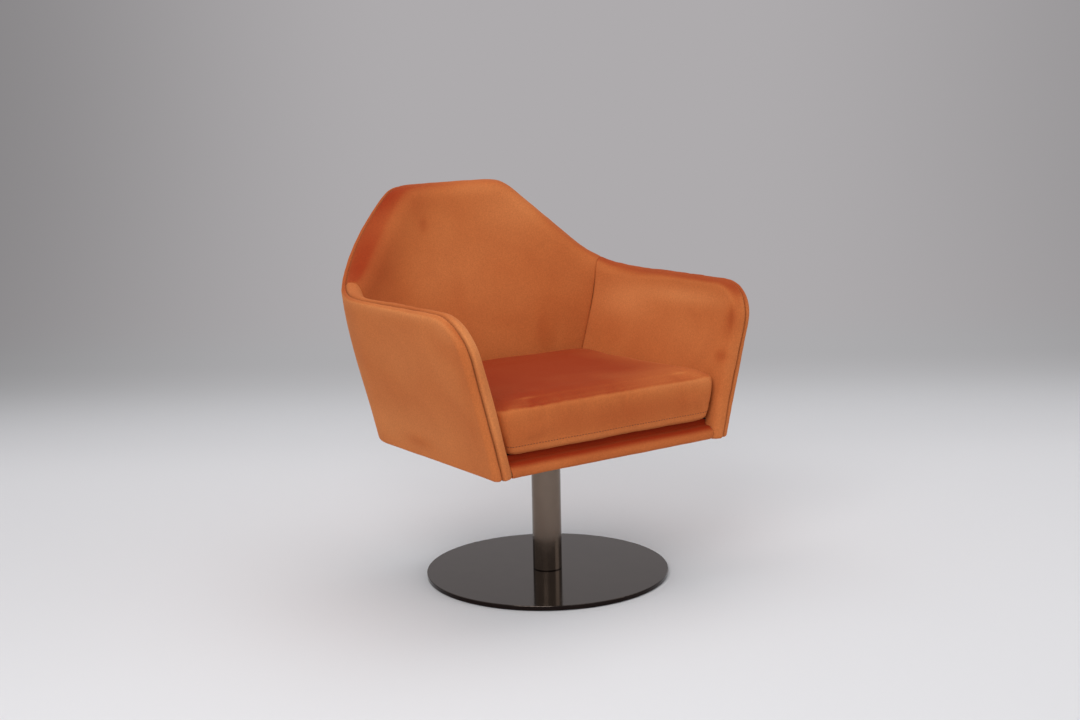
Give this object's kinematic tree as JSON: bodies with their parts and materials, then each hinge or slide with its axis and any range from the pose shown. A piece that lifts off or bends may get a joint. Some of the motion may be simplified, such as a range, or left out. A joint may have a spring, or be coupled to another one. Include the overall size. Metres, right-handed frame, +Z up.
{
  "type": "swivel armchair",
  "caption": "Tub armchair with a raised back and a loose seat cushion, turning on a round pedestal foot with a central column.",
  "frame": {"origin": "on the floor, on the swivel axis, at the middle of the foot's underside", "axes": "+Z up along the swivel axis, -Y towards the chair's front, +X to the right of somebody who looks at its front"},
  "size_m": [0.737, 0.6101, 0.791],
  "materials": {
    "velvet": "orange upholstery velvet",
    "bronze_steel": "polished dark bronze plating",
    "steel": "plain",
    "black_steel": "satin black",
    "bush_plastic": "natural acetal",
    "timber": "birch plywood",
    "foam": "upholstery foam",
    "lining_cloth": "black non-woven lining",
    "felt": "black felt"
  },
  "bodies": {
    "base": {"floor_pad": "felt", "base_disc": "bronze_steel", "column_tube": "bronze_steel", "foot_plug": "steel", "foot_screws": "steel", "bearing_housing": "steel", "lower_bush": "bush_plastic", "upper_bush": "bush_plastic", "lower_race": "steel"},
    "bearing_cage": {"ball_cage": "bush_plastic", "bearing_balls": "steel"},
    "seat": {"upper_race": "steel", "swivel_spindle": "steel", "spindle_washer": "steel", "circlip": "steel", "swivel_plate": "black_steel", "plate_bolts": "steel", "barrel_nuts": "steel", "seat_board": "timber", "front_rail": "timber", "front_apron": "velvet", "cleat_screws": "steel", "deck_foam": "foam", "deck_cloth": "lining_cloth", "dust_cloth": "lining_cloth", "outer_cover": "velvet", "left_cleat": "timber", "right_cleat": "timber", "back_cleat": "timber", "left_arm_panel": "timber", "right_arm_panel": "timber", "back_panel": "timber", "left_arm_padding": "foam", "right_arm_padding": "foam", "back_padding": "foam", "left_arm_lining": "velvet", "right_arm_lining": "velvet", "back_lining": "velvet"},
    "cushion": {"cushion_core": "foam", "cushion_top_cover": "velvet", "cushion_border": "velvet", "cushion_underside": "velvet"}
  },
  "joints": [
    {"name": "seat_swivel", "type": "hinge", "parent": "base", "child": "seat", "pos_m": [0, 0, 0.3], "axis": [0, 0, 1], "continuous": true},
    {"name": "cage_swivel", "type": "hinge", "parent": "base", "child": "bearing_cage", "pos_m": [0, 0, 0.3], "axis": [0, 0, 1], "continuous": true},
    {"name": "cushion_lift", "type": "slide", "parent": "seat", "child": "cushion", "axis": [0, 0, 1], "range_m": [0, 0.25]}
  ],
  "couplings": [
    {"joint": "cage_swivel", "follows": "seat_swivel", "ratio": 0.5}
  ]
}
